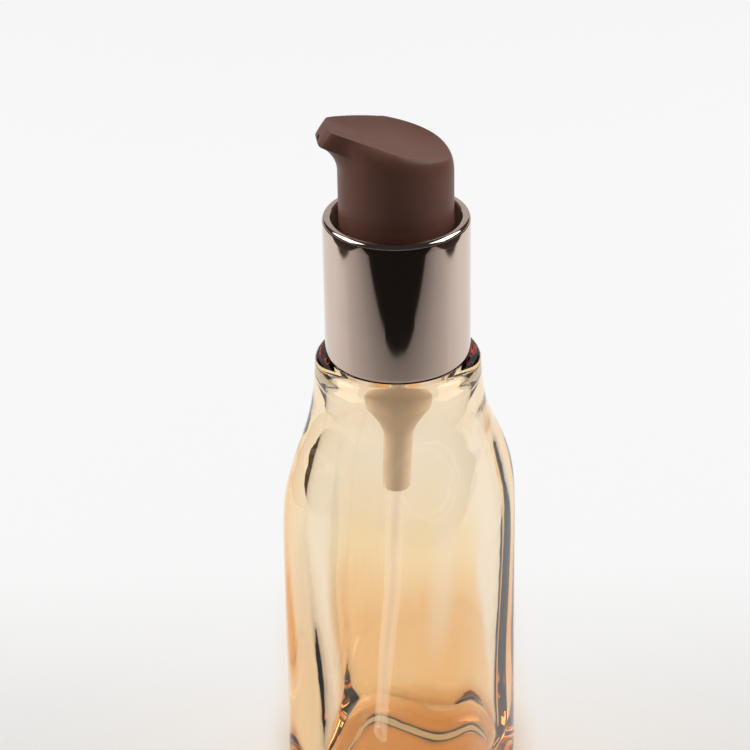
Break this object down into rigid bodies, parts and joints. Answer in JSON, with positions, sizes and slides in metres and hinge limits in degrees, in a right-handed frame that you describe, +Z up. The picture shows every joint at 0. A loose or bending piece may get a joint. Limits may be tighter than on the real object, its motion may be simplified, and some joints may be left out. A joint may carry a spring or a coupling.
{
  "type": "pump oil bottle",
  "caption": "Clear amber glass bottle with a rounded square body, a tall metal collar and a treatment pump with a leaf-shaped, dished head and a short blunt spout.",
  "frame": {"origin": "centre of the bottle's base, on the plane it stands on", "axes": "+Z up the bottle; the four flat sides face +X, -X, +Y and -Y; the spout points 212 degrees round from +X"},
  "size_m": [0.04, 0.04, 0.1432],
  "materials": {
    "amber_glass": "clear amber tint, polished",
    "rose_metal": "mirror-polished, rose-grey anodised",
    "brown_plastic": "soft satin",
    "natural_plastic": "natural, milky",
    "tube_plastic": "natural, milky, translucent",
    "gasket_foam": "fine closed foam",
    "wiper_rubber": "smooth",
    "spring_steel": "bright drawn stainless"
  },
  "bodies": {
    "bottle": {"bottle": "amber_glass"},
    "pump_body": {"pump_housing": "natural_plastic", "neck_gasket": "gasket_foam", "turret": "natural_plastic", "stem_wiper": "wiper_rubber", "dip_tube": "tube_plastic", "ball_cage": "natural_plastic", "return_spring": "spring_steel"},
    "closure": {"closure_cap": "natural_plastic", "collar_shell": "rose_metal"},
    "piston": {"piston": "natural_plastic"},
    "actuator": {"stem": "natural_plastic", "piston_rod": "natural_plastic", "head_core": "natural_plastic", "head_cover": "brown_plastic"},
    "inlet_ball": {"inlet_ball": "spring_steel"}
  },
  "joints": [
    {"name": "pump_lift", "type": "slide", "parent": "bottle", "child": "pump_body", "axis": [0, 0, 1], "range_m": [0, 0.0048]},
    {"name": "closure_unscrew", "type": "hinge", "parent": "pump_body", "child": "closure", "pos_m": [0, 0, 0.097], "axis": [0, 0, 1], "range_deg": [0, 540]},
    {"name": "pump_stroke", "type": "slide", "parent": "pump_body", "child": "piston", "axis": [0, 0, -1], "range_m": [0, 0.007], "stiffness_N_per_m": 500, "springref_m": -0.003, "deforming": ["return_spring"]},
    {"name": "head_swivel", "type": "hinge", "parent": "piston", "child": "actuator", "pos_m": [0, 0, 0.13], "axis": [0, 0, 1], "continuous": true},
    {"name": "ball_lift", "type": "slide", "parent": "pump_body", "child": "inlet_ball", "axis": [0, 0, 1], "range_m": [0, 0.0012]}
  ],
  "couplings": [
    {"joint": "pump_lift", "follows": "closure_unscrew", "m_per_rad": 0.00050532}
  ]
}
